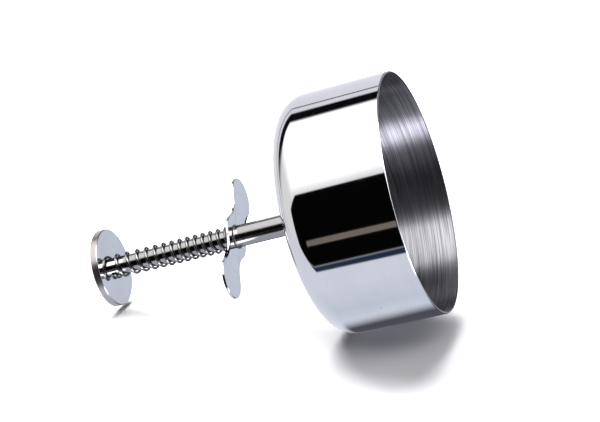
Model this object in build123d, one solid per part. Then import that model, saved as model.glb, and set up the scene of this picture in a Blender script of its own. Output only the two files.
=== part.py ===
from build123d import *
from math import asin, cos, degrees, radians, sin, sqrt
import os

# Spring-loaded food mould with ejector, in millimetres.
# Frame: the mould's axis is Z, its open mouth lies in the plane Z = 0 and faces down,
# the thumb disc is at the top, and the finger grip's long axis is X.
# Pushing the thumb disc down slides the ejector plate from the cup's base to its mouth.

# mould cup, deep drawn from sheet
cup_radius = 43.5            # outside, at the mouth and all the way up the wall
cup_height = 40.5            # mouth plane to outside of the base
cup_wall = 0.8
cup_corner = 9.0             # outside radius between wall and base
rim_round = 0.25             # deburred edge of the mouth

# guide tube, through the base and through the finger grip
tube_radius = 4.0
bore_radius = 3.43
grip_underside = 69.8        # height of the grip's face that looks at the cup

# reinforcing flange on the base, and the braze fillets
flange_radius = 11.0
flange_thick = 1.0
flange_neck_radius = 5.1
flange_neck_height = 3.2
braze_leg = 0.7

# finger grip, a flat blank with a round boss and two round lobes
grip_thick = 1.0
boss_radius = 8.3
lobe_radius = 7.7
lobe_centre = 20.0
waist_round = 10.0           # hollow arc of each waist, about 9.9 wide at its narrowest
grip_edge_round = 0.2

# push rod, thumb disc and ejector
rod_radius = 3.36
disc_underside = 119.4
disc_radius = 14.4
disc_thick = 2.8
disc_edge_round = 0.35
tenon_radius = 2.1           # turned end of the rod, riveted over in the disc
rivet_radius = 2.9
rivet_depth = 0.8
plate_radius = 42.2
plate_thick = 1.0
plate_flat_radius = 32.0
plate_curl = 10.5            # outside radius of the turned rim
screw_radius = 2.0
screw_hole_depth = 14.0
screw_length = 11.0          # below the washer's seat, into the rod
screw_head_radius = 3.9
screw_head_height = 2.4
hex_across = 2.5
hex_depth = 1.4
washer_radius = 7.0
washer_thick = 1.0

# return spring
wire_radius = 0.5
spring_radius = 4.08         # axis of the wire
spring_turns = 15.0

# worked out from the above
cup_floor = cup_height - cup_wall          # inside face of the base
grip_top = grip_underside + grip_thick
disc_top = disc_underside + disc_thick
screw_clear = 0.05                         # thread shown plain, a hair apart


def ring_of(*segments):
    """One solid of revolution about Z from a closed chain of edges in the XZ plane."""
    return revolve(make_face(Wire(list(segments))), Axis.Z)


def chain(*points):
    """Straight edges through points given as (radius, height)."""
    spots = [(r, 0, z) for r, z in points]
    return [Edge.make_line(a, b) for a, b in zip(spots, spots[1:])]


def quarter(centre_r, centre_z, radius, start, end):
    """Arc in the XZ plane between two angles, measured from the outward direction."""
    at = [(centre_r + radius * cos(radians(a)), 0, centre_z + radius * sin(radians(a)))
          for a in (start, (start + end) / 2, end)]
    return Edge.make_three_point_arc(*at)


def mould_cup():
    """Cup with an open mouth at Z = 0, a rounded shoulder and a hole for the tube."""
    turn_r, turn_z = cup_radius - cup_corner, cup_height - cup_corner
    inside = cup_radius - cup_wall
    inner_corner = cup_corner - cup_wall
    edges = chain((inside + rim_round, 0), (cup_radius - rim_round, 0))
    edges += [quarter(cup_radius - rim_round, rim_round, rim_round, -90, 0)]
    edges += chain((cup_radius, rim_round), (cup_radius, turn_z))
    edges += [quarter(turn_r, turn_z, cup_corner, 0, 90)]
    edges += chain((turn_r, cup_height), (tube_radius, cup_height),
                   (tube_radius, cup_floor), (turn_r, cup_floor))
    edges += [quarter(turn_r, turn_z, inner_corner, 90, 0)]
    edges += chain((inside, turn_z), (inside, rim_round))
    edges += [quarter(inside + rim_round, rim_round, rim_round, 180, 270)]
    return ring_of(*edges)


def guide_tube():
    """Plain tube from the cup's floor to the top face of the finger grip."""
    length = grip_top - cup_floor
    tube = Cylinder(tube_radius, length) - Cylinder(bore_radius, length)
    return Pos(0, 0, cup_floor + length / 2) * tube


def tube_flange():
    """Stamped washer with a short neck, brazed on the base to stiffen the joint."""
    low, high = cup_height, cup_height + flange_thick
    neck = high + flange_neck_height
    sweep = 1.2                             # hollow between plate and neck
    edges = chain((tube_radius, low), (flange_radius, low), (flange_radius, high),
                  (flange_neck_radius + sweep, high))
    edges += [quarter(flange_neck_radius + sweep, high + sweep, sweep, 270, 180)]
    edges += chain((flange_neck_radius, high + sweep), (flange_neck_radius, neck),
                   (tube_radius, neck), (tube_radius, low))
    return ring_of(*edges)


def braze_fillet(height, leg, upward):
    """Hollow-faced ring of braze round the tube, against a flat face at the height."""
    side = 1 if upward else -1
    bottom, tip = height, height + side * leg
    edges = chain((tube_radius, tip), (tube_radius, bottom), (tube_radius + leg, bottom))
    bow = quarter(tube_radius + leg, height + side * leg, leg,
                  270 if upward else 90, 180)
    return ring_of(*edges, bow)


def finger_grip():
    """Blank of a central boss and two lobes, joined by waists that are tangent arcs."""
    # The waist's arc touches the boss circle and the lobe circle from outside, so its
    # centre is waist_round + their radii away from theirs, and that places it.
    reach_boss, reach_lobe = boss_radius + waist_round, lobe_radius + waist_round
    waist_x = (lobe_centre**2 + reach_boss**2 - reach_lobe**2) / (2 * lobe_centre)
    waist_y = sqrt(reach_boss**2 - waist_x**2)
    k_boss = boss_radius / reach_boss
    k_lobe = lobe_radius / reach_lobe
    touch_boss = (waist_x * k_boss, waist_y * k_boss)
    touch_lobe = (lobe_centre + (waist_x - lobe_centre) * k_lobe, waist_y * k_lobe)
    bridge = Polygon((touch_boss[0], -touch_boss[1]), (touch_lobe[0], -touch_lobe[1]),
                     (touch_lobe[0], touch_lobe[1]), (touch_boss[0], touch_boss[1]), align=None)
    bridge -= [Pos(waist_x, y) * Circle(waist_round) for y in (waist_y, -waist_y)]
    wing = bridge + Pos(lobe_centre, 0) * Circle(lobe_radius)
    blank = Circle(boss_radius) + wing + Rot(0, 0, 180) * wing
    plate = extrude(blank, grip_thick)
    rims = plate.edges().group_by(Axis.Z)
    plate = fillet(rims[0] + rims[-1], grip_edge_round)
    plate -= Pos(0, 0, grip_thick / 2) * Cylinder(tube_radius, grip_thick)
    return Pos(0, 0, grip_underside) * plate


def push_rod():
    """Rod with a tapped hole at the foot and a riveted tenon at the head."""
    length = disc_underside - cup_floor
    rod = Pos(0, 0, cup_floor + length / 2) * Cylinder(rod_radius, length)
    rod = chamfer(rod.edges().group_by(Axis.Z)[0], 0.4)
    rod -= Pos(0, 0, cup_floor + screw_hole_depth / 2) * Cylinder(screw_radius, screw_hole_depth)
    rod += Pos(0, 0, disc_underside + disc_thick / 2) * Cylinder(tenon_radius, disc_thick)
    rod += Pos(0, 0, disc_top - rivet_depth / 2) * Cone(tenon_radius, rivet_radius, rivet_depth)
    return rod


def thumb_disc():
    """Turned disc with rounded edges and a countersunk hole for the rod's tenon."""
    disc = Cylinder(disc_radius, disc_thick)
    rims = disc.edges().filter_by(GeomType.CIRCLE)
    disc = fillet(rims, disc_edge_round)
    disc -= Cylinder(tenon_radius, disc_thick)
    disc -= Pos(0, 0, (disc_thick - rivet_depth) / 2) * Cone(tenon_radius, rivet_radius, rivet_depth)
    return Pos(0, 0, disc_underside + disc_thick / 2) * disc


def ejector_plate():
    """Pressed plate: flat in the middle, its rim turned down to follow the cup's corner."""
    turn_z = cup_floor - plate_curl
    inner_curl = plate_curl - plate_thick
    # the turned rim stops where its outside reaches the plate's radius
    stop = 90 - degrees(asin((plate_radius - plate_flat_radius) / plate_curl))
    outer = quarter(plate_flat_radius, turn_z, plate_curl, 90, stop)
    inner = quarter(plate_flat_radius, turn_z, inner_curl, stop, 90)
    tip = Edge.make_line(outer @ 1, inner @ 0)
    hole = screw_radius + screw_clear
    under = cup_floor - plate_thick
    edges = chain((hole, under), (hole, cup_floor), (plate_flat_radius, cup_floor))
    edges += [outer, tip, inner]
    edges += chain((plate_flat_radius, under), (hole, under))
    return ring_of(*edges)


def plate_washer():
    """Washer between the screw's head and the ejector plate."""
    under = cup_floor - plate_thick - washer_thick
    ring = Cylinder(washer_radius, washer_thick)
    ring = fillet(ring.edges().group_by(Axis.Z)[0], 0.3)
    ring -= Cylinder(screw_radius + screw_clear, washer_thick)
    return Pos(0, 0, under + washer_thick / 2) * ring


def plate_screw():
    """Button-head screw with a hexagon socket, up through the washer into the rod."""
    seat = cup_floor - plate_thick - washer_thick
    crown = (screw_head_radius**2 + screw_head_height**2) / (2 * screw_head_height)
    dome = Pos(0, 0, seat + crown - screw_head_height) * Sphere(crown)
    head = dome & (Pos(0, 0, seat - screw_head_height / 2)
                   * Cylinder(screw_head_radius, screw_head_height))
    socket = extrude(RegularPolygon(hex_across / 2, 6, major_radius=False), hex_depth)
    head -= Pos(0, 0, seat - screw_head_height) * socket
    shank_length = screw_length + plate_thick + washer_thick
    shank = Pos(0, 0, seat + shank_length / 2) * Cylinder(screw_radius - screw_clear, shank_length)
    return head + shank


def return_spring():
    """Open-wound coil from the grip's top face to the thumb disc's underside."""
    height = disc_underside - grip_top - 2 * wire_radius
    path = Helix(pitch=height / spring_turns, height=height, radius=spring_radius)
    section = Plane(origin=path @ 0, z_dir=path % 0) * Circle(wire_radius)
    coil = sweep(section, path=path, is_frenet=True)
    return Pos(0, 0, grip_top + wire_radius) * coil


parts = {
    "mould_cup": mould_cup(),
    "guide_tube": guide_tube(),
    "tube_flange": tube_flange(),
    "base_braze": braze_fillet(cup_height + flange_thick + flange_neck_height, braze_leg, True),
    "finger_grip": finger_grip(),
    "grip_braze": braze_fillet(grip_underside, braze_leg, False),
    "push_rod": push_rod(),
    "thumb_disc": thumb_disc(),
    "ejector_plate": ejector_plate(),
    "plate_washer": plate_washer(),
    "plate_screw": plate_screw(),
    "return_spring": return_spring(),
}

os.makedirs("parts", exist_ok=True)
for name, solid in parts.items():
    export_step(solid, f"parts/{name}.step")
    print(f"{name:15s} {solid.volume:10.1f} mm3")
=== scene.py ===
import bpy
import math
import numpy as np
from mathutils import Matrix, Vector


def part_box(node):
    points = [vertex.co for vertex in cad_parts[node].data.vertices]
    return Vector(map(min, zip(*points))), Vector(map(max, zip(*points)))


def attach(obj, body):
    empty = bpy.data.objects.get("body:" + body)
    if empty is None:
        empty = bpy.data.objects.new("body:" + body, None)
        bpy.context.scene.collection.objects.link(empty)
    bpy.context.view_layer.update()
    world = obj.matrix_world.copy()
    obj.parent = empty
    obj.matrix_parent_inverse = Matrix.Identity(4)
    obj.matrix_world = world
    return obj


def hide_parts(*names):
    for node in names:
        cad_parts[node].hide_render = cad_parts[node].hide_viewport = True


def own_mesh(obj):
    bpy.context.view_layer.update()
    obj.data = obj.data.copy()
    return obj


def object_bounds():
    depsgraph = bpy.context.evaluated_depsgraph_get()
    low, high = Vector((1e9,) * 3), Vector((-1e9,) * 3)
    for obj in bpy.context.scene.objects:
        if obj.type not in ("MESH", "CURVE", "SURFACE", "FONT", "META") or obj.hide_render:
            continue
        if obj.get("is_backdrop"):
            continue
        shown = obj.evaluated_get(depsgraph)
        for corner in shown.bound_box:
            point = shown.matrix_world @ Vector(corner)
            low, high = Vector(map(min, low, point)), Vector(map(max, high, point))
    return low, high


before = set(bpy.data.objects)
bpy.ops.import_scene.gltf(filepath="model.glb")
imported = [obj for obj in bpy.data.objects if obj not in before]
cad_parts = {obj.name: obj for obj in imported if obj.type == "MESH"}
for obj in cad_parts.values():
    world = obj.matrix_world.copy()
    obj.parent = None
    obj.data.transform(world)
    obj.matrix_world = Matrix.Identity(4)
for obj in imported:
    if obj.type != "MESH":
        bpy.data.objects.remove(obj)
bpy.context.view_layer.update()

# Spring-loaded food mould: a deep-drawn steel cup on a guide tube with a finger grip, and a push rod that
# carries the thumb disc and the ejector plate. Sizes are in millimetres, and become metres in surface().
mm = 0.001


def roundedOutline(corners, closed, steps=12):
    # Corners are (across, height, rounding, finish). Each corner becomes an arc that touches both its sides.
    # It starts rounding x tan(turn / 2) before the corner, its centre lies one rounding to the inner side,
    # and the direction turns evenly from one side to the next. Outward is to the right of the direction.
    table = np.array(corners, float)
    spot, rounding, finish = table[:, :2], table[:, 2:3], table[:, 3]
    arrive, leave = spot - np.roll(spot, 1, 0), np.roll(spot, -1, 0) - spot
    if not closed:
        arrive[0], leave[-1] = leave[0], arrive[-1]
    arrive /= np.linalg.norm(arrive, axis=1, keepdims=True)
    leave /= np.linalg.norm(leave, axis=1, keepdims=True)
    crossed = arrive[:, 0] * leave[:, 1] - arrive[:, 1] * leave[:, 0]
    turn = np.arctan2(crossed, (arrive * leave).sum(1))[:, None]
    inner = np.sign(turn) * np.stack([-arrive[:, 1], arrive[:, 0]], 1)
    centre = spot - arrive * rounding * np.tan(np.abs(turn) / 2) + inner * rounding
    angle = (np.abs(turn) * np.linspace(0, 1, steps + 1))[:, :, None]
    points = (centre[:, None] - inner[:, None] * rounding[:, None] * np.cos(angle)
              + arrive[:, None] * rounding[:, None] * np.sin(angle)).reshape(-1, 2)
    along = (arrive[:, None] * np.cos(angle) + inner[:, None] * np.sin(angle)).reshape(-1, 2)
    fresh = np.linalg.norm(points - np.roll(points, 1, 0), axis=1) > 1e-6
    fresh[0] = True
    outward = np.stack([along[:, 1], -along[:, 0]], 1)
    return points[fresh], outward[fresh], np.repeat(finish, steps + 1)[fresh].astype(int)


def surface(name, points, materials, outward=None, wrapRows=False, finish=None):
    # A grid of rows x columns of points in mm. The columns close on themselves, and so do the rows if
    # wrapRows. A row whose points all coincide becomes one pole vertex with a fan of triangles. The UV map
    # runs 0 to 1 round the columns, and its second value is the distance along the rows in metres.
    points = np.asarray(points, float) * mm
    rows, columns = points.shape[:2]
    pole = np.ptp(points, axis=1).max(axis=1) < 1e-9
    keep = np.ones((rows, columns), bool)
    keep[pole, 1:] = False
    index = (np.cumsum(keep.ravel()) - 1).reshape(rows, columns)
    index[pole] = index[pole][:, :1]
    low = np.arange(rows if wrapRows else rows - 1)
    high = (low + 1) % rows
    left = np.arange(columns)
    right = (left + 1) % columns
    corners = np.stack([index[low][:, left], index[low][:, right],
                        index[high][:, right], index[high][:, left]], -1)
    stride = np.linalg.norm(points[high, 0] - points[low, 0], axis=1)
    along = np.concatenate([[0.0], np.cumsum(stride)])
    u = np.stack([left, left + 1, left + 1, left], -1)[None] / columns + np.zeros((len(low), 1, 1))
    v = np.stack([along[low], along[low], along[low + 1], along[low + 1]], -1)[:, None]
    v = v + np.zeros((1, columns, 1))
    uv = np.stack([u, v], -1)
    finish = np.zeros(rows, int) if finish is None else finish
    tag = np.repeat(finish[low][:, None], columns, 1)
    kinds = [(~(pole[low] | pole[high]), [0, 1, 2, 3]), (pole[low], [0, 2, 3]), (pole[high], [0, 1, 2])]
    faces, loops, tags = [], [], []
    for rowsOfKind, pick in kinds:
        faces += corners[rowsOfKind][:, :, pick].reshape(-1, len(pick)).tolist()
        loops.append(uv[rowsOfKind][:, :, pick].reshape(-1, 2))
        tags.append(tag[rowsOfKind].ravel())
    mesh = bpy.data.meshes.new(name)
    mesh.from_pydata(points[keep].tolist(), [], faces)
    turning = mesh.uv_layers.new(name="turning")
    turning.data.foreach_set("uv", np.concatenate(loops).astype(np.float32).ravel())
    mesh.polygons.foreach_set("material_index", np.concatenate(tags).astype(np.int32))
    mesh.shade_smooth()
    if outward is not None:
        mesh.normals_split_custom_set_from_vertices(outward[keep].tolist())
    for material in materials:
        mesh.materials.append(material)
    mesh.validate()
    piece = bpy.data.objects.new(name, mesh)
    bpy.context.scene.collection.objects.link(piece)
    return piece


def revolve(name, corners, materials, closed=True, segments=256, steps=12, swell=None):
    # The outline (radius, height) turned about Z: x = radius cos(angle), y = radius sin(angle). Swell is an
    # array of offsets along the outward direction, one for each angle.
    outline, outward, finish = roundedOutline(corners, closed, steps)
    angle = np.arange(segments) * 2 * math.pi / segments
    turn = np.stack([np.cos(angle), np.sin(angle)], -1)[None]
    radius, height = outline[:, 0][:, None], outline[:, 1][:, None]
    radius = np.where(radius < 1e-6, 0, radius)
    if swell is not None:
        radius = radius + outward[:, :1] * swell[None]
        height = height + outward[:, 1:] * swell[None]
    points = np.concatenate([radius[..., None] * turn,
                             np.broadcast_to(height[..., None], (len(outline), segments, 1))], -1)
    normals = np.concatenate([outward[:, None, :1] * turn,
                              np.broadcast_to(outward[:, None, 1:], (len(outline), segments, 1))], -1)
    return surface(name, points, materials, normals, closed, finish)


def hexColour(code, gain=1.0):
    # sRGB to linear: c / 12.92 below 0.04045, and ((c + 0.055) / 1.055) to the power 2.4 above it
    shown = np.array([int(code[i:i + 2], 16) for i in (1, 3, 5)]) / 255
    linear = np.where(shown <= 0.04045, shown / 12.92, ((shown + 0.055) / 1.055) ** 2.4)
    return (*(linear * gain).tolist(), 1.0)


def addNode(tree, kind, settings=None, sockets=None):
    # one node with its settings; a socket value is either another node's output or a plain value
    node = tree.nodes.new(kind)
    for key, value in (settings or {}).items():
        setattr(node, key, value)
    for key, value in (sockets or {}).items():
        if isinstance(value, bpy.types.NodeSocket):
            tree.links.new(value, node.inputs[key])
        else:
            node.inputs[key].default_value = value
    return node


# What the finishes share, in mm where it is a size; each piece's own dictionary changes what differs. Real
# polishing and turning lines are about 0.02 to 0.1 mm apart. They are drawn a few times coarser than that, so
# that they show at this distance. The broad lines are the tool's slower drift over several fine ones.
steel = {"colour": "#D9D9DB", "shade": "#A9A9AD", "rough": (0.05, 0.09), "lineSpacing": 0.5,
         "lineReach": 30.0, "lineDepth": 0.0004, "lineTone": 0.12, "broadTimes": 7, "broadDepth": 0.001,
         "broadTone": 0.06, "cloudSize": 18.0, "cloudTone": 0.12, "cloudRough": 0.03,
         "toneSpan": (0.35, 0.65), "roughSpan": (0.3, 0.7)}   # spans: the noise values that are stretched


def steelFinish(name, changes):
    # Stainless steel, a metal of high even reflectance. Its look is mostly in how it was finished: turning or
    # brushing lines that follow the surface, soft waves left by pressing and buffing, and small pits. Several
    # pieces also darken their colour and shade as painted shade.
    # Colour goes from colour to shade by the sum of the patterns' tones, and roughness adds fine and stain.
    look = {**steel, **changes}
    material = bpy.data.materials.new(name)
    material.use_nodes = True
    tree = material.node_tree
    tree.nodes.clear()
    place = addNode(tree, "ShaderNodeTexCoord").outputs["Object"]
    axes = addNode(tree, "ShaderNodeSeparateXYZ", None, {0: place}).outputs
    turning = addNode(tree, "ShaderNodeUVMap", {"uv_map": "turning"}).outputs[0]
    along = addNode(tree, "ShaderNodeSeparateXYZ", None, {0: turning}).outputs[1]

    def lines(spacing, reach, shift):
        # lines that run round the axis: the noise changes fast along the outline and slowly round it
        aside, deep = (addNode(tree, "ShaderNodeMath", {"operation": "MULTIPLY"},
                               {0: axis, 1: 1 / (reach * mm)}).outputs[0] for axis in (axes[0], axes[1]))
        step = addNode(tree, "ShaderNodeMath", {"operation": "MULTIPLY_ADD"},
                       {0: along, 1: 1 / (spacing * mm), 2: shift}).outputs[0]
        where = addNode(tree, "ShaderNodeCombineXYZ", None, {0: aside, 1: deep, 2: step}).outputs[0]
        return addNode(tree, "ShaderNodeTexNoise", {"noise_dimensions": "3D"},
                       {"Vector": where, "Scale": 1.0, "Detail": 2.0, "Roughness": 0.6}).outputs[0]

    def cloud(size, detail, shift):
        # soft patches of one size, moved aside so that two clouds don't repeat each other
        moved = addNode(tree, "ShaderNodeMapping", None,
                        {"Vector": place, "Location": (shift, shift * 0.7, shift * 1.3)}).outputs[0]
        return addNode(tree, "ShaderNodeTexNoise", {"noise_dimensions": "3D"},
                       {"Vector": moved, "Scale": 1 / (size * mm), "Detail": detail}).outputs[0]

    fine = lines(look["lineSpacing"], look["lineReach"], 3.0)
    broad = lines(look["lineSpacing"] * look["broadTimes"], look["lineReach"] * 2, 17.0)
    stain = cloud(look["cloudSize"], 3.0, 0.31)
    relief = [(fine, look["lineDepth"], False), (broad, look["broadDepth"], False)]
    tones = [(fine, look["lineTone"]), (broad, look["broadTone"]), (stain, look["cloudTone"])]
    if "waveDepth" in look:
        relief.append((cloud(look["waveSize"], 1.0, 0.83), look["waveDepth"], False))
    pits = 0.0
    if "pitDepth" in look:
        # one cell in a few holds a pit, whose size follows the cell's own chance
        cells = addNode(tree, "ShaderNodeTexVoronoi", {"feature": "F1"},
                        {"Vector": place, "Scale": 1 / (look["pitSpacing"] * mm)})
        chance = addNode(tree, "ShaderNodeSeparateXYZ", None, {0: cells.outputs["Color"]}).outputs[0]
        size = addNode(tree, "ShaderNodeMapRange", None, {
            0: chance, 1: 1 - look["pitShare"], 2: 1.0,
            3: 0.0, 4: look["pitSize"] / look["pitSpacing"]}).outputs[0]
        size = addNode(tree, "ShaderNodeMath", {"operation": "MAXIMUM"}, {0: size, 1: 0.0001}).outputs[0]
        away = addNode(tree, "ShaderNodeMath", {"operation": "DIVIDE"},
                       {0: cells.outputs["Distance"], 1: size}).outputs[0]
        pits = addNode(tree, "ShaderNodeMapRange", {"interpolation_type": "SMOOTHSTEP"},
                       {0: away, 1: 0.4, 2: 1.0, 3: 1.0, 4: 0.0}).outputs[0]
        relief.append((pits, look["pitDepth"], True))
    bump = None
    for height, depth, inward in relief:
        bump = addNode(tree, "ShaderNodeBump", {"invert": inward}, {
            "Strength": 1.0, "Distance": depth * mm, "Height": height,
            **({"Normal": bump} if bump else {})}).outputs[0]
    tone = pits
    low, high = look["toneSpan"]
    for pattern, most in tones:
        share = addNode(tree, "ShaderNodeMapRange", None,
                        {0: pattern, 1: low, 2: high, 3: 0.0, 4: most}).outputs[0]
        tone = addNode(tree, "ShaderNodeMath", {"operation": "ADD"}, {0: tone, 1: share}).outputs[0]
    colour = addNode(tree, "ShaderNodeMix", {"data_type": "RGBA"}, {
        0: tone, 6: hexColour(look["colour"]), 7: hexColour(look["shade"])}).outputs[2]
    rough = 0.0
    low, high = look["roughSpan"]
    for pattern, least, most in ((fine, *look["rough"]), (stain, 0.0, look["cloudRough"])):
        share = addNode(tree, "ShaderNodeMapRange", None,
                        {0: pattern, 1: low, 2: high, 3: least, 4: most}).outputs[0]
        rough = addNode(tree, "ShaderNodeMath", {"operation": "ADD"}, {0: share, 1: rough}).outputs[0]
    shader = addNode(tree, "ShaderNodeBsdfPrincipled", None, {
        "Base Color": colour, "Metallic": 1.0, "Roughness": rough, "Normal": bump})
    if "anisotropy" in look:
        shader.inputs["Anisotropic"].default_value = look["anisotropy"]
        shader.inputs["Anisotropic Rotation"].default_value = 0.25   # light spreads across the lines
        tangent = addNode(tree, "ShaderNodeTangent", {"direction_type": "UV_MAP", "uv_map": "turning"})
        tree.links.new(tangent.outputs[0], shader.inputs["Tangent"])
    addNode(tree, "ShaderNodeOutputMaterial", None, {"Surface": shader.outputs[0]})
    return material


# The cup. Outside it is buffed to a mirror with a few pits and slow waves from pressing, so reflections stay
# sharp and bend a little. Inside it is brushed round, so highlights stretch along the axis and lines show.
# Its cut rim is deburred and satin. Its colour is far darker than the steel: painted shade, so that it reads
# as a thin grey edge and the bright card doesn't blow out on it. The pits are drawn several times larger than
# real ones, and the brushing lines coarser, so that they show.
cupPiece = {
    "wall": 0.8, "corner": 9.0, "rim": 0.39, "hole": 4.02, "holeEdge": 0.1,
    "outside": {"lineSpacing": 0.4, "lineDepth": 0.0008, "lineTone": 0.05, "broadTone": 0.03,
                "rough": (0.02, 0.045), "cloudRough": 0.02, "waveSize": 30.0, "waveDepth": 0.01,
                "pitSpacing": 9.0, "pitShare": 0.45, "pitSize": 0.8, "pitDepth": 0.04},
    "inside": {"colour": "#CAC9CD", "shade": "#626167", "rough": (0.32, 0.38), "lineSpacing": 0.2,
               "lineDepth": 0.004, "broadDepth": 0.002, "lineTone": 0.75, "broadTone": 0.15,
               "anisotropy": 1.0},
    "edge": {"colour": "#5C5A5E", "shade": "#454347", "rough": (0.35, 0.45), "lineDepth": 0.002}}
buffedSteel = steelFinish("buffed_stainless", cupPiece["outside"])
brushedSteel = steelFinish("brushed_stainless", cupPiece["inside"])
rimSteel = steelFinish("deburred_stainless_edge_painted_shade", cupPiece["edge"])
low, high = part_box("mould_cup")
radius, top, mouth = high.x / mm, high.z / mm, low.z / mm
inside, floorZ = radius - cupPiece["wall"], top - cupPiece["wall"]
cup = revolve("cup_shell", [
    (inside, mouth, cupPiece["rim"], 2), (radius, mouth, cupPiece["rim"], 0),
    (radius, top, cupPiece["corner"], 0), (cupPiece["hole"], top, cupPiece["holeEdge"], 0),
    (cupPiece["hole"], floorZ, cupPiece["holeEdge"], 1),
    (inside, floorZ, cupPiece["corner"] - cupPiece["wall"], 1)],
    [buffedSteel, brushedSteel, rimSteel], segments=384, steps=24)
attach(cup, "mould")
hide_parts("mould_cup")
print("cup:", len(cup.data.polygons), "faces")

# The guide tube, drawn and then polished round: a bright tube whose reflections are a little soft. Its colour
# and shade are darker than the steel's: painted shade, for the shaded table under it that it mirrors.
tubePiece = {"bore": 3.43, "radius": 4.0, "edge": 0.1, "topEdge": 0.15,
             "finish": {"colour": "#A09E9E", "shade": "#7C7A79", "rough": (0.12, 0.18), "lineDepth": 0.001}}
low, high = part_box("guide_tube")
tube = revolve("stem_tube", [
    (tubePiece["bore"], low.z / mm, tubePiece["edge"], 0),
    (tubePiece["radius"], low.z / mm, tubePiece["edge"], 0),
    (tubePiece["radius"], high.z / mm, tubePiece["topEdge"], 0),
    (tubePiece["bore"], high.z / mm, tubePiece["edge"], 0)],
    [steelFinish("drawn_tube_stainless_painted_shade", tubePiece["finish"])], segments=128)
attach(tube, "mould")
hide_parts("guide_tube")

# The flange that stiffens the base, stamped and tumbled: bright, with softened edges and a coved neck.
flangePiece = {"hole": 4.03, "radius": 11.0, "thick": 1.0, "neck": 5.1, "cove": 1.2, "holeEdge": 0.1,
               "underEdge": 0.15, "topEdge": 0.3, "neckEdge": 0.2, "finish": {"rough": (0.1, 0.16)}}
low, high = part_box("tube_flange")
shelf = low.z / mm + flangePiece["thick"]
flange = revolve("crown_flange", [
    (flangePiece["hole"], low.z / mm, flangePiece["holeEdge"], 0),
    (flangePiece["radius"], low.z / mm, flangePiece["underEdge"], 0),
    (flangePiece["radius"], shelf, flangePiece["topEdge"], 0),
    (flangePiece["neck"], shelf, flangePiece["cove"], 0),
    (flangePiece["neck"], high.z / mm, flangePiece["neckEdge"], 0),
    (flangePiece["hole"], high.z / mm, flangePiece["holeEdge"], 0)],
    [steelFinish("pressed_stainless", flangePiece["finish"])], segments=160)
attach(flange, "mould")
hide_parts("tube_flange")

# The two braze fillets, silver braze as it flowed: duller and warmer than the steel, mottled, and a little
# uneven round the joint. The second one hangs under the grip, so its outline is turned over.
brazePiece = {"inner": 3.9, "leg": 4.7, "throat": 4.18, "rise": 0.18, "hollow": 0.5, "tip": 4.02,
              "footEdge": 0.02, "tipEdge": 0.01, "columns": 128, "shrink": 0.05,
              "ripple": ((3, 0.03, 0.4), (7, 0.02, 1.9)),     # how many round, size and start
              "finish": {"colour": "#97948F", "shade": "#605C56", "rough": (0.22, 0.34), "cloudSize": 1.5,
                         "cloudTone": 0.5}}
brazeMetal = steelFinish("silver_braze_fillet", brazePiece["finish"])
angle = np.arange(brazePiece["columns"]) * 2 * math.pi / brazePiece["columns"]
ripple = sum(size * np.sin(count * angle + start) for count, size, start in brazePiece["ripple"])
for node, name, side in (("base_braze", "crown_braze", 1), ("grip_braze", "grip_fillet", -1)):
    low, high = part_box(node)
    seat, tip = (low.z / mm, high.z / mm) if side > 0 else (high.z / mm, low.z / mm)
    outline = [(brazePiece["inner"], seat, brazePiece["footEdge"], 0),
               (brazePiece["leg"], seat, brazePiece["footEdge"], 0),
               (brazePiece["throat"], seat + side * brazePiece["rise"], brazePiece["hollow"], 0),
               (brazePiece["tip"], tip, brazePiece["tipEdge"], 0),
               (brazePiece["inner"], tip, brazePiece["tipEdge"], 0)]
    braze = revolve(name, outline[::side], [brazeMetal], segments=brazePiece["columns"],
                    swell=ripple - brazePiece["shrink"])
    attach(braze, "mould")
    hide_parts(node)
print("stem: tube, flange and two fillets")

# The finger grip, blanked from sheet and polished with its edges tumbled: clear reflections with slow waves.
gripPiece = {"boss": 8.3, "lobe": 7.7, "lobeCentre": 20.0, "waist": 10.0, "edge": 0.25, "hole": 4.02,
             "pointSpacing": 0.25, "edgeSteps": 8,
             "finish": {"rough": (0.05, 0.1), "waveSize": 20.0, "waveDepth": 0.004}}


def gripOutline(g):
    # Outline of touching arcs, counterclockwise. A waist's centre is waist + boss from the middle and
    # waist + lobe from the lobe's centre. Each arc is centre + radius (cos, sin). The waists curve inwards.
    bossReach, lobeReach = g["boss"] + g["waist"], g["lobe"] + g["waist"]
    x = (g["lobeCentre"] ** 2 + bossReach ** 2 - lobeReach ** 2) / (2 * g["lobeCentre"])
    y = math.sqrt(bossReach ** 2 - x * x)
    toBoss, toLobe = math.atan2(y, x), math.atan2(y, x - g["lobeCentre"])
    half = math.pi
    arcs = [(g["lobeCentre"], 0, g["lobe"], -toLobe, toLobe),
            (x, y, -g["waist"], toLobe - half, toBoss - half),
            (0, 0, g["boss"], toBoss, half - toBoss), (-x, y, -g["waist"], -toBoss, -toLobe),
            (-g["lobeCentre"], 0, g["lobe"], half - toLobe, half + toLobe),
            (-x, -y, -g["waist"], toLobe, toBoss), (0, 0, g["boss"], half + toBoss, 2 * half - toBoss),
            (x, -y, -g["waist"], half - toBoss, half - toLobe)]
    spots, outs = [], []
    for cx, cy, r, start, end in arcs:
        count = max(8, int(abs(r) * abs(end - start) / g["pointSpacing"]))
        a = start + (end - start) * np.arange(count) / count
        ray = np.stack([np.cos(a), np.sin(a)], -1)
        spots.append(np.array([cx, cy]) + abs(r) * ray)
        outs.append(ray * np.sign(r))
    return np.concatenate(spots), np.concatenate(outs)


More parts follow.
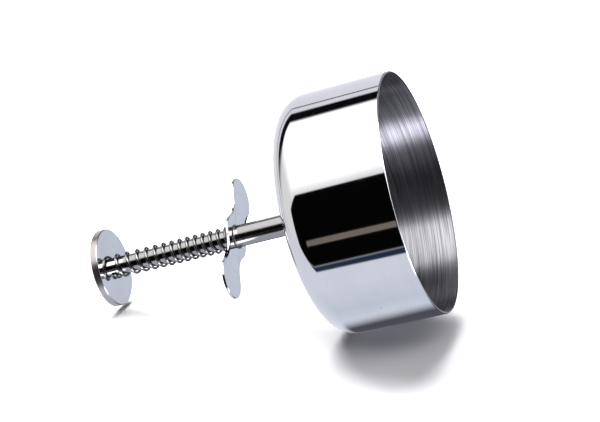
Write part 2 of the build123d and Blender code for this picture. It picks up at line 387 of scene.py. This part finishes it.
def flatBlank(name, g, lowZ, highZ, materials):
    # Rows go round the section: hole, underside, rounded edge, top, hole. The edge rows are the outline moved
    # in by the edge profile, and the hole rows share out the circle by the distance gone along the outline.
    spot, out = gripOutline(g)
    step = np.linalg.norm(np.roll(spot, -1, 0) - spot, axis=1)
    share = 2 * math.pi * np.concatenate([[0.0], np.cumsum(step)[:-1]]) / step.sum()
    share += math.atan2(spot[0, 1], spot[0, 0])
    e = g["edge"]
    profile, normal, _ = roundedOutline([(-2 * e, lowZ, 0, 0), (0, lowZ, e, 0), (0, highZ, e, 0),
                                         (-2 * e, highZ, 0, 0)], False, g["edgeSteps"])
    hole = g["hole"] * np.stack([np.cos(share), np.sin(share)], -1)
    rows = [np.concatenate([spot + out * d, np.full((len(spot), 1), z)], -1) for d, z in profile]
    normals = [np.concatenate([out * n, np.full((len(spot), 1), m)], -1) for n, m in normal]
    for z, flat, at in ((lowZ, -1.0, 0), (highZ, 1.0, len(rows) + 1)):
        rows.insert(at, np.concatenate([hole, np.full((len(spot), 1), z)], -1))
        normals.insert(at, np.concatenate([np.zeros_like(hole), np.full((len(spot), 1), flat)], -1))
    return surface(name, np.array(rows), materials, np.array(normals), True)


low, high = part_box("finger_grip")
gripSteel = steelFinish("polished_sheet_stainless", gripPiece["finish"])
grip = flatBlank("grip_plate", gripPiece, low.z / mm, high.z / mm, [gripSteel])
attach(grip, "mould")
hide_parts("finger_grip")
print("finger grip:", len(grip.data.polygons), "faces")

# The push rod, centreless ground bar: a clear dark-and-light streak along it. Its colour is darker than the
# steel's: painted shade, for the spring and the shaded table that it mirrors. Its foot is bored for the
# screw, and its head is a tenon riveted over in the disc, with a crown that stands a hair proud.
rodPiece = {"radius": 3.36, "footEdge": 0.4, "bore": 2.05, "boreEdge": 0.1, "boreDepth": 14.0, "tenon": 2.08,
            "step": 0.05, "rivet": 2.85, "rivetDepth": 0.8, "rivetEdge": 0.12, "crown": 0.05,
            "finish": {"colour": "#A2A1A1", "shade": "#7C7B7A", "rough": (0.06, 0.12), "lineDepth": 0.001}}
low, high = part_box("push_rod")
foot, discTop, discUnder = low.z / mm, high.z / mm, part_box("thumb_disc")[0].z / mm
rod = revolve("plunger_rod", [
    (0.0, foot + rodPiece["boreDepth"], 0, 0),
    (rodPiece["bore"], foot + rodPiece["boreDepth"], rodPiece["boreEdge"], 0),
    (rodPiece["bore"], foot, rodPiece["boreEdge"], 0), (rodPiece["radius"], foot, rodPiece["footEdge"], 0),
    (rodPiece["radius"], discUnder, rodPiece["step"], 0), (rodPiece["tenon"], discUnder, rodPiece["step"], 0),
    (rodPiece["tenon"], discTop - rodPiece["rivetDepth"], rodPiece["step"], 0),
    (rodPiece["rivet"], discTop, rodPiece["rivetEdge"], 0), (0.0, discTop + rodPiece["crown"], 0, 0)],
    [steelFinish("ground_bar_stainless_painted_shade", rodPiece["finish"])], closed=False, segments=128)
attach(rod, "plunger")
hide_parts("push_rod")

# The thumb disc. Its faces are faced on a lathe and bright; its rim is turned and left satin with small pits,
# a little larger than real, so it is grey and warm beside the faces.
discPiece = {"hole": 2.12, "radius": 14.4, "edge": 0.35, "holeEdge": 0.05, "rivet": 2.9, "rivetEdge": 0.08,
             "rivetDepth": 0.8, "face": {"lineSpacing": 0.3},
             "rim": {"colour": "#B8B2AF", "shade": "#8A8481", "rough": (0.22, 0.34), "lineSpacing": 0.3,
                     "anisotropy": 0.6, "pitSpacing": 1.2, "pitShare": 0.3, "pitSize": 0.16,
                     "pitDepth": 0.02}}
discFace = steelFinish("faced_stainless", discPiece["face"])
discRim = steelFinish("turned_stainless_rim", discPiece["rim"])
disc = revolve("thumb_button", [
    (discPiece["hole"], discUnder, discPiece["holeEdge"], 0),
    (discPiece["radius"], discUnder, discPiece["edge"], 1),
    (discPiece["radius"], discTop, discPiece["edge"], 0),
    (discPiece["rivet"], discTop, discPiece["rivetEdge"], 0),
    (discPiece["hole"], discTop - discPiece["rivetDepth"], discPiece["holeEdge"], 0)],
    [discFace, discRim], segments=256)
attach(disc, "plunger")
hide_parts("thumb_disc")

# The ejector plate, spun from sheet with a turned-down rim: satin rings that sweep the light round it. Its
# colour is far darker than the steel's: painted shade, so that the strong lamps don't wash it out in the cup.
platePiece = {"hole": 2.1, "holeEdge": 0.05, "thick": 1.0, "flat": 32.0, "curl": 10.5, "lip": 0.2,
              "slack": 0.1,    # keeps the curl's rounding off its own ends
              "finish": {"colour": "#66666A", "shade": "#4C4C50", "rough": (0.25, 0.35), "anisotropy": 0.8,
                         "lineDepth": 0.002}}
low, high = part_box("ejector_plate")
plateTop, flat = high.z / mm, platePiece["flat"]
outer, inner = platePiece["curl"], platePiece["curl"] - platePiece["thick"]
reach = math.asin((high.x / mm - flat) / outer)      # how far the rim turns down
plate = revolve("pusher_plate", [
    (platePiece["hole"], plateTop - platePiece["thick"], platePiece["holeEdge"], 0),
    (flat + inner * math.tan(reach / 2), plateTop - platePiece["thick"], inner - platePiece["slack"], 0),
    (flat + inner * math.sin(reach), plateTop - outer + inner * math.cos(reach), platePiece["lip"], 0),
    (flat + outer * math.sin(reach), plateTop - outer + outer * math.cos(reach), platePiece["lip"], 0),
    (flat + outer * math.tan(reach / 2), plateTop, outer - platePiece["slack"], 0),
    (platePiece["hole"], plateTop, platePiece["holeEdge"], 0)],
    [steelFinish("spun_stainless_painted_shade", platePiece["finish"])], segments=320, steps=20)
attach(plate, "plunger")
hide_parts("ejector_plate")

# The washer and the screw, rolled and tumbled fasteners: plain, with soft edges. Their grey colour is darker
# than the steel's: painted shade, like the plate's, so that the strong lamps don't wash them out.
washerPiece = {"hole": 2.1, "radius": 7.0, "edge": 0.1, "outerEdge": 0.3,
               "finish": {"colour": "#8A8A8D", "shade": "#68686B", "rough": (0.15, 0.25)}}
fastenerSteel = steelFinish("rolled_fastener_stainless_painted_shade", washerPiece["finish"])
low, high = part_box("plate_washer")
washer = revolve("rear_washer", [
    (washerPiece["hole"], low.z / mm, washerPiece["edge"], 0),
    (washerPiece["radius"], low.z / mm, washerPiece["outerEdge"], 0),
    (washerPiece["radius"], high.z / mm, washerPiece["edge"], 0),
    (washerPiece["hole"], high.z / mm, washerPiece["edge"], 0)], [fastenerSteel], segments=160)
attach(washer, "plunger")
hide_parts("plate_washer")

screwPiece = {"head": 3.85, "tall": 2.38, "underEdge": 0.1, "socket": 1.25, "socketDepth": 1.4,
              "dimple": 0.35, "floorEdge": 0.08, "bevel": 0.12, "shank": 1.92, "neck": 0.2, "point": 0.4,
              "taper": 0.35, "domeRows": 18, "columns": 192}


def buttonScrew(name, s, seat, tip, materials):
    # Rows from the socket's floor over the domed head and up the shank. Dome height is seat - tall x
    # (1 - (radius / head)^2) to the power 0.6. The socket's radius is socket / cos(angle within 30 degrees),
    # and each dome row lies a share of the way from the socket's edge to the head's.
    a = np.arange(s["columns"]) * 2 * math.pi / s["columns"]
    ring = np.ones(s["columns"])
    hexagon = s["socket"] / np.cos((a + math.pi / 6) % (math.pi / 3) - math.pi / 6)
    socketFloor = seat - s["tall"] + s["socketDepth"]

    def dome(r):
        return seat - s["tall"] * (1 - (r / s["head"]) ** 2) ** 0.6
    bevelled = hexagon + s["bevel"]
    rows = [(0 * ring, ring * (socketFloor + s["dimple"])), (hexagon * 0.93, ring * socketFloor),
            (hexagon, ring * (socketFloor - s["floorEdge"])), (hexagon, dome(hexagon) + s["bevel"]),
            (hexagon + 0.25 * s["bevel"], dome(hexagon) + 0.05), (bevelled, dome(bevelled))]
    for w in np.sin(np.linspace(0.08, 1, s["domeRows"]) * math.pi / 2):
        r = w * ring * s["head"] + (1 - w) * bevelled
        rows.append((r, dome(np.minimum(r, s["head"]))))
    rows += [(ring * (s["head"] - s["underEdge"]), ring * seat),
             (ring * (s["shank"] + s["neck"]), ring * seat),
             (ring * s["shank"], ring * (seat + s["neck"])), (ring * s["shank"], ring * (tip - s["point"])),
             (ring * (s["shank"] - s["taper"]), ring * tip), (0 * ring, ring * tip)]
    grid = np.array([np.stack([r * np.cos(a), r * np.sin(a), z], -1) for r, z in rows])
    return surface(name, grid, materials)


seat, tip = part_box("plate_washer")[0].z / mm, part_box("plate_screw")[1].z / mm
screw = buttonScrew("socket_screw", screwPiece, seat, tip, [fastenerSteel])
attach(screw, "plunger")
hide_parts("plate_screw")
print("plunger: rod, disc, plate, washer and screw")

# The return spring, hard-drawn wire with a polished skin: thin sharp highlights with dark sides. Its colour
# is darker than the steel's: painted shade, for the shaded gaps and table that it mirrors. Heights are those
# of the wire's middle above the grip after each listed number of turns, close at the ends as wound.
springPiece = {"coil": 4.08, "wire": 0.5, "travel": 30.0, "phase": 0.0, "perTurn": 96, "around": 20,
               "turns": [0, 1, 2, 13, 14, 15], "heights": [0.5, 1.7, 4.6, 40.8, 45.4, 48.1],
               "finish": {"colour": "#8A8888", "shade": "#5E5C5C", "rough": (0.1, 0.16), "lineSpacing": 3.0}}


def coilSpring(name, s, base, materials):
    # The wire's middle is (coil cos a, coil sin a, height(a)), and each ring of the wire is the middle
    # + wire (cos b outward + sin b across), where across is the direction of travel x outward. The height
    # between the listed turns follows a cubic whose slopes are those between neighbouring knots.
    knots, heights = np.array(s["turns"], float), np.array(s["heights"], float)
    n = np.linspace(knots[0], knots[-1], int(s["perTurn"] * (knots[-1] - knots[0])) + 1)
    slope = np.diff(heights) / np.diff(knots)
    ends = np.concatenate([[slope[0]], (slope[1:] + slope[:-1]) / 2, [slope[-1]]])
    k = np.clip(np.searchsorted(knots, n, side="right") - 1, 0, len(knots) - 2)
    w = knots[k + 1] - knots[k]
    t = (n - knots[k]) / w
    z = (heights[k] * (1 + 2 * t) * (1 - t) ** 2 + heights[k + 1] * t * t * (3 - 2 * t)
         + w * (ends[k] * t * (1 - t) ** 2 - ends[k + 1] * t * t * (1 - t)))
    a = 2 * math.pi * n + s["phase"]
    middle = np.stack([s["coil"] * np.cos(a), s["coil"] * np.sin(a), base + z], -1)
    travel = np.gradient(middle, axis=0)
    travel /= np.linalg.norm(travel, axis=1, keepdims=True)
    outward = np.stack([np.cos(a), np.sin(a), 0 * a], -1)
    across = np.cross(travel, outward)
    thick = np.full(len(n), s["wire"])
    # a rounded cut at each end: rings that shrink to a pole
    shrink, back = np.array([0.0, 0.8, 0.94, 1.0]), np.array([0.0, 0.0, 0.03, 0.1])
    order = np.array([0] * 4 + list(range(1, len(n) - 1)) + [len(n) - 1] * 4)
    middle, travel, outward, across, thick = (x[order] for x in (middle, travel, outward, across, thick))
    middle[:4] += travel[:4] * back[:, None]
    thick[:4] *= shrink
    middle[-4:] -= travel[-4:] * back[::-1, None]
    thick[-4:] *= shrink[::-1]
    b = -np.arange(s["around"]) * 2 * math.pi / s["around"]
    ring = (np.cos(b)[None, :, None] * outward[:, None] + np.sin(b)[None, :, None] * across[:, None])
    return surface(name, middle[:, None] + thick[:, None, None] * ring, materials)


low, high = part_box("return_spring")
wireSteel = steelFinish("spring_wire_stainless_painted_shade", springPiece["finish"])
spring = coilSpring("coil_spring", springPiece, low.z / mm, [wireSteel])
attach(spring, "mould")
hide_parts("return_spring")
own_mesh(spring)

# The camera. The object lies on its side, so the camera is rolled: azimuth and elevation are where it stands
# round the CAD's upright axis, and aim is the spot in mm that it looks at. tableTilt is how far it looks
# down at the table, and all angles are in degrees.
view = {"azimuth": 132.0, "elevation": -17.29, "roll": 103.95, "distance": 571.13,
        "aim": (-2.354, 2.615, 44.377), "lens": 96.0, "near": 0.01, "far": 20.0, "tableTilt": 15.3}
azimuth, elevation, roll = (math.radians(view[k]) for k in ("azimuth", "elevation", "roll"))
back = np.array([math.sin(azimuth) * math.cos(elevation), -math.cos(azimuth) * math.cos(elevation),
                 math.sin(elevation)])
level = np.array([0, 0, 1]) - back[2] * back
level /= np.linalg.norm(level)
side = np.cross(level, back)
upward = level * math.cos(roll) + side * math.sin(roll)
across = np.cross(upward, back)
spot = (np.array(view["aim"]) + back * view["distance"]) * mm
cameraData = bpy.data.cameras.new("camera")
cameraData.lens = view["lens"]
cameraData.clip_start, cameraData.clip_end = view["near"], view["far"]
camera = bpy.data.objects.new("camera", cameraData)
stand = np.column_stack([across, upward, back, spot])
camera.matrix_world = Matrix(np.vstack([stand, [0, 0, 0, 1]]).tolist())
bpy.context.scene.collection.objects.link(camera)
bpy.context.scene.camera = camera

# The table touches the lower of the cup's and the disc's lowest points. The studio has its own upright: up
# from the table, front (towards the camera) and across to the right. The table is matt white paper, darkened
# so that the strong key light leaves it white and its shadow soft grey. It is clear from below, and mirrors
# don't see it. Its sizes are in metres, and along is how far up the object's axis its middle lies.
tablePiece = {"halfSize": 1.5, "along": 0.06, "paper": "#7E7E80"}
tilt = math.radians(view["tableTilt"])
tableUp = upward * math.cos(tilt) + back * math.sin(tilt)
front = -upward * math.sin(tilt) + back * math.cos(tilt)
lowest = 1.0
for piece in (cup, disc):
    corner = np.empty(3 * len(piece.data.vertices))
    piece.data.vertices.foreach_get("co", corner)
    lowest = min(lowest, float((corner.reshape(-1, 3) @ tableUp).min()))
middle = np.array([0, 0, tablePiece["along"]])
middle = middle + tableUp * (lowest - middle @ tableUp)
tableMesh = bpy.data.meshes.new("table")
tableMesh.from_pydata([(middle + tablePiece["halfSize"] * (p * across + q * front)).tolist()
                       for p, q in ((-1, 1), (1, 1), (1, -1), (-1, -1))], [], [(0, 1, 2, 3)])
table = bpy.data.objects.new("table", tableMesh)
bpy.context.scene.collection.objects.link(table)
table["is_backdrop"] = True
table.visible_glossy = False
table.visible_shadow = False
paper = bpy.data.materials.new("white_paper")
paper.use_nodes = True
tree = paper.node_tree
tree.nodes.clear()
solid = addNode(tree, "ShaderNodeBsdfDiffuse", None, {"Color": hexColour(tablePiece["paper"])}).outputs[0]
clear = addNode(tree, "ShaderNodeBsdfTransparent").outputs[0]
under = addNode(tree, "ShaderNodeNewGeometry").outputs["Backfacing"]
oneSided = addNode(tree, "ShaderNodeMixShader", None, {0: under, 1: solid, 2: clear}).outputs[0]
addNode(tree, "ShaderNodeOutputMaterial", None, {"Surface": oneSided})
tableMesh.materials.append(paper)


def toward(azimuthDegrees, elevationDegrees):
    # unit direction in the studio: azimuth 0 is towards the camera and positive to the right
    a, e = math.radians(azimuthDegrees), math.radians(elevationDegrees)
    return math.cos(e) * (math.sin(a) * across + math.cos(a) * front) + math.sin(e) * tableUp


# The polished steel shows the whole room, so the room is drawn: first a sweep of light by degrees above the
# table (hex and gain), then patches, later ones over earlier ones. Each edge of a patch is a great circle
# through two directions, with a softness in degrees, and inside is a direction in the patch. Directions are
# (azimuth, elevation). peak is the brightest gain, which keeps the colours below 1.
studio = {
    "peak": 10.0,
    "sweep": [(-90, "#E0E9F8", 1.0), (-60, "#E9EDFA", 1.08), (-20, "#F0F3FA", 1.02), (-3, "#F8FAFF", 1.06),
              (2, "#F8FAFF", 1.06), (12, "#E6E6EE", 1.2), (25, "#E0E0E8", 1.25), (90, "#E0E0E8", 1.25)],
    "patches": [
        {"name": "side_fill", "colour": "#FFFFFF", "gain": 0.98, "inside": (-95, 20),
         "edges": [((-118, 8), (-152, 44), 3), ((-150, -12), (-30, -12), 12)]},
        {"name": "softbox_left", "colour": "#FFFFFF", "gain": 1.9, "inside": (-60, 70),
         "edges": [((-42, 35), (17, 53), 8), ((-118, 8), (-152, 44), 3), ((-140, 27), (-60, 27), 16),
                   ((35, 0), (35, 40), 5)]},
        {"name": "softbox_right", "colour": "#FFFFFF", "gain": 7.3, "inside": (60, 60),
         "edges": [((-42, 27.5), (17, 47), 3), ((84, 79), (101, 49), 2.5), ((-10, 0), (-10, 40), 5)]},
        {"name": "back_dark", "colour": "#3C3B40", "gain": 1.6, "inside": (140, 40),
         "edges": [((110, 20), (113, 70), 6), ((110, 11), (175, 11), 4), ((178, 20), (170, 70), 8)]},
        {"name": "flag_edge", "colour": "#0E0E10", "gain": 1.0, "inside": (-134, 31),
         "edges": [((-137, 47.5), (-101, 14.5), 2.5), ((-156.5, 41.5), (-119, 9.5), 1.5),
                   ((-108, 0), (-108, 40), 10)]},
        {"name": "thin_gap", "colour": "#1E1E22", "gain": 1.0, "inside": (-168.1, 37.8),
         "edges": [((-167, 38.2), (-129, 6.7), 0.5), ((-169.2, 37.4), (-131.1, 6.0), 0.5),
                   ((-108, 0), (-108, 40), 10)]},
        {"name": "back_wall", "colour": "#DEE5F3", "gain": 1.0, "inside": (145, -2),
         "edges": [((105, -11), (178, -11), 5), ((105, 9), (178, 9), 4), ((108, 0), (108, 20), 5),
                   ((172, 0), (172, 20), 5)]},
        {"name": "table_shade", "colour": "#55555E", "gain": 1.0, "inside": (140, -38),
         "edges": [((95, -20), (95, -60), 14), ((95, -13), (178, -13), 8), ((95, -60), (178, -60), 10),
                   ((179, -20), (179, -60), 5)]},
        {"name": "dark_room", "colour": "#060607", "gain": 1.0, "inside": (0, 0),
         "edges": [((-75, 5), (-42, 27.5), 1), ((-42, 27.5), (17, 47), 1), ((-45, -34), (22, -41), 1),
                   ((-75, -24), (-45, -34), 1.5), ((-70, 5), (-62, -24), 1.5), ((95, 0), (95, 40), 8)]},
        {"name": "table_front", "colour": "#88808A", "gain": 1.2, "inside": (60, -15),
         "edges": [((-45, -34), (22, -41), 1), ((20, -4), (90, 3), 5), ((95, 0), (95, -40), 8),
                   ((12, 0), (12, -40), 12)]},
        {"name": "reflector_card", "colour": "#F4F4FF", "gain": 10.0, "inside": (50, -28),
         "edges": [((32, -47), (80, -17), 4), ((16, -31), (69, -9), 3), ((18, 0), (18, -40), 2.5),
                   ((95, 0), (95, -40), 8)]},
        {"name": "table_lip", "colour": "#2B3850", "gain": 0.9, "inside": (-30, -36),
         "edges": [((-45, -34), (22, -41), 1), ((-45, -26), (22, -32), 4), ((-75, -24), (-45, -34), 1.5),
                   ((-70, 5), (-62, -24), 1.5), ((18, 0), (18, -40), 4)]},
        {"name": "warm_strip", "colour": "#94877F", "gain": 0.8, "inside": (-15, -14.5),
         "edges": [((-28, -12), (0, -12), 0.5), ((-28, -17), (0, -17), 0.5), ((-28.4, 0), (-28.4, -30), 0.4),
                   ((10, 0), (10, -30), 3)]}]}
world = bpy.data.worlds.new("studio")
bpy.context.scene.world = world
world.use_nodes = True
tree = world.node_tree
tree.nodes.clear()
look = addNode(tree, "ShaderNodeTexCoord").outputs["Generated"]
height = addNode(tree, "ShaderNodeVectorMath", {"operation": "DOT_PRODUCT"},
                 {0: look, 1: tableUp.tolist()}).outputs["Value"]
rise = addNode(tree, "ShaderNodeMath", {"operation": "ARCSINE"}, {0: height}).outputs[0]
share = addNode(tree, "ShaderNodeMapRange", None, {0: rise, 1: -math.pi / 2, 2: math.pi / 2}).outputs[0]
ramp = addNode(tree, "ShaderNodeValToRGB", None, {0: share})
stops = ramp.color_ramp.elements
for degrees, code, gain in studio["sweep"][1:-1]:
    stops.new((degrees + 90) / 180)
for stop, (degrees, code, gain) in zip(stops, studio["sweep"]):
    stop.color = hexColour(code, gain / studio["peak"])
light = ramp.outputs[0]
for patch in studio["patches"]:
    mask = 1.0
    for first, second, soft in patch["edges"]:
        normal = np.cross(toward(*first), toward(*second))
        normal *= np.sign(normal @ toward(*patch["inside"])) / np.linalg.norm(normal)
        width = math.sin(math.radians(soft))
        away = addNode(tree, "ShaderNodeVectorMath", {"operation": "DOT_PRODUCT"},
                       {0: look, 1: normal.tolist()}).outputs["Value"]
        edge = addNode(tree, "ShaderNodeMapRange", {"interpolation_type": "SMOOTHSTEP"},
                       {0: away, 1: -width, 2: width}).outputs[0]
        mask = addNode(tree, "ShaderNodeMath", {"operation": "MULTIPLY"}, {0: edge, 1: mask}).outputs[0]
    light = addNode(tree, "ShaderNodeMix", {"data_type": "RGBA"}, {
        0: mask, 6: light, 7: hexColour(patch["colour"], patch["gain"] / studio["peak"])}).outputs[2]
room = addNode(tree, "ShaderNodeBackground", None, {"Color": light, "Strength": studio["peak"]}).outputs[0]
plain = addNode(tree, "ShaderNodeBackground", None, {"Color": (1, 1, 1, 1), "Strength": 1.0}).outputs[0]
seen = addNode(tree, "ShaderNodeLightPath").outputs["Is Camera Ray"]
backdrop = addNode(tree, "ShaderNodeMixShader", None, {0: seen, 1: room, 2: plain}).outputs[0]
addNode(tree, "ShaderNodeOutputWorld", None, {"Surface": backdrop})

# The key lamp only draws the shadow on the table; mirrors don't see it. Metres and watts.
keyLight = {"direction": (-154, 60), "distance": 1.2, "size": 0.85, "power": 160.0}
lamp = bpy.data.lights.new("key", "AREA")
lamp.energy, lamp.size = keyLight["power"], keyLight["size"]
keyLamp = bpy.data.objects.new("key", lamp)
away = toward(*keyLight["direction"])
sideways = np.cross(tableUp, away) / np.linalg.norm(np.cross(tableUp, away))
stand = np.column_stack([sideways, np.cross(away, sideways), away, middle + away * keyLight["distance"]])
keyLamp.matrix_world = Matrix(np.vstack([stand, [0, 0, 0, 1]]).tolist())
keyLamp.visible_glossy = False
bpy.context.scene.collection.objects.link(keyLamp)
bpy.context.scene.view_settings.view_transform = "Standard"
print("studio: camera, table, key lamp and", len(studio["patches"]), "patches of the room")

low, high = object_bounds()
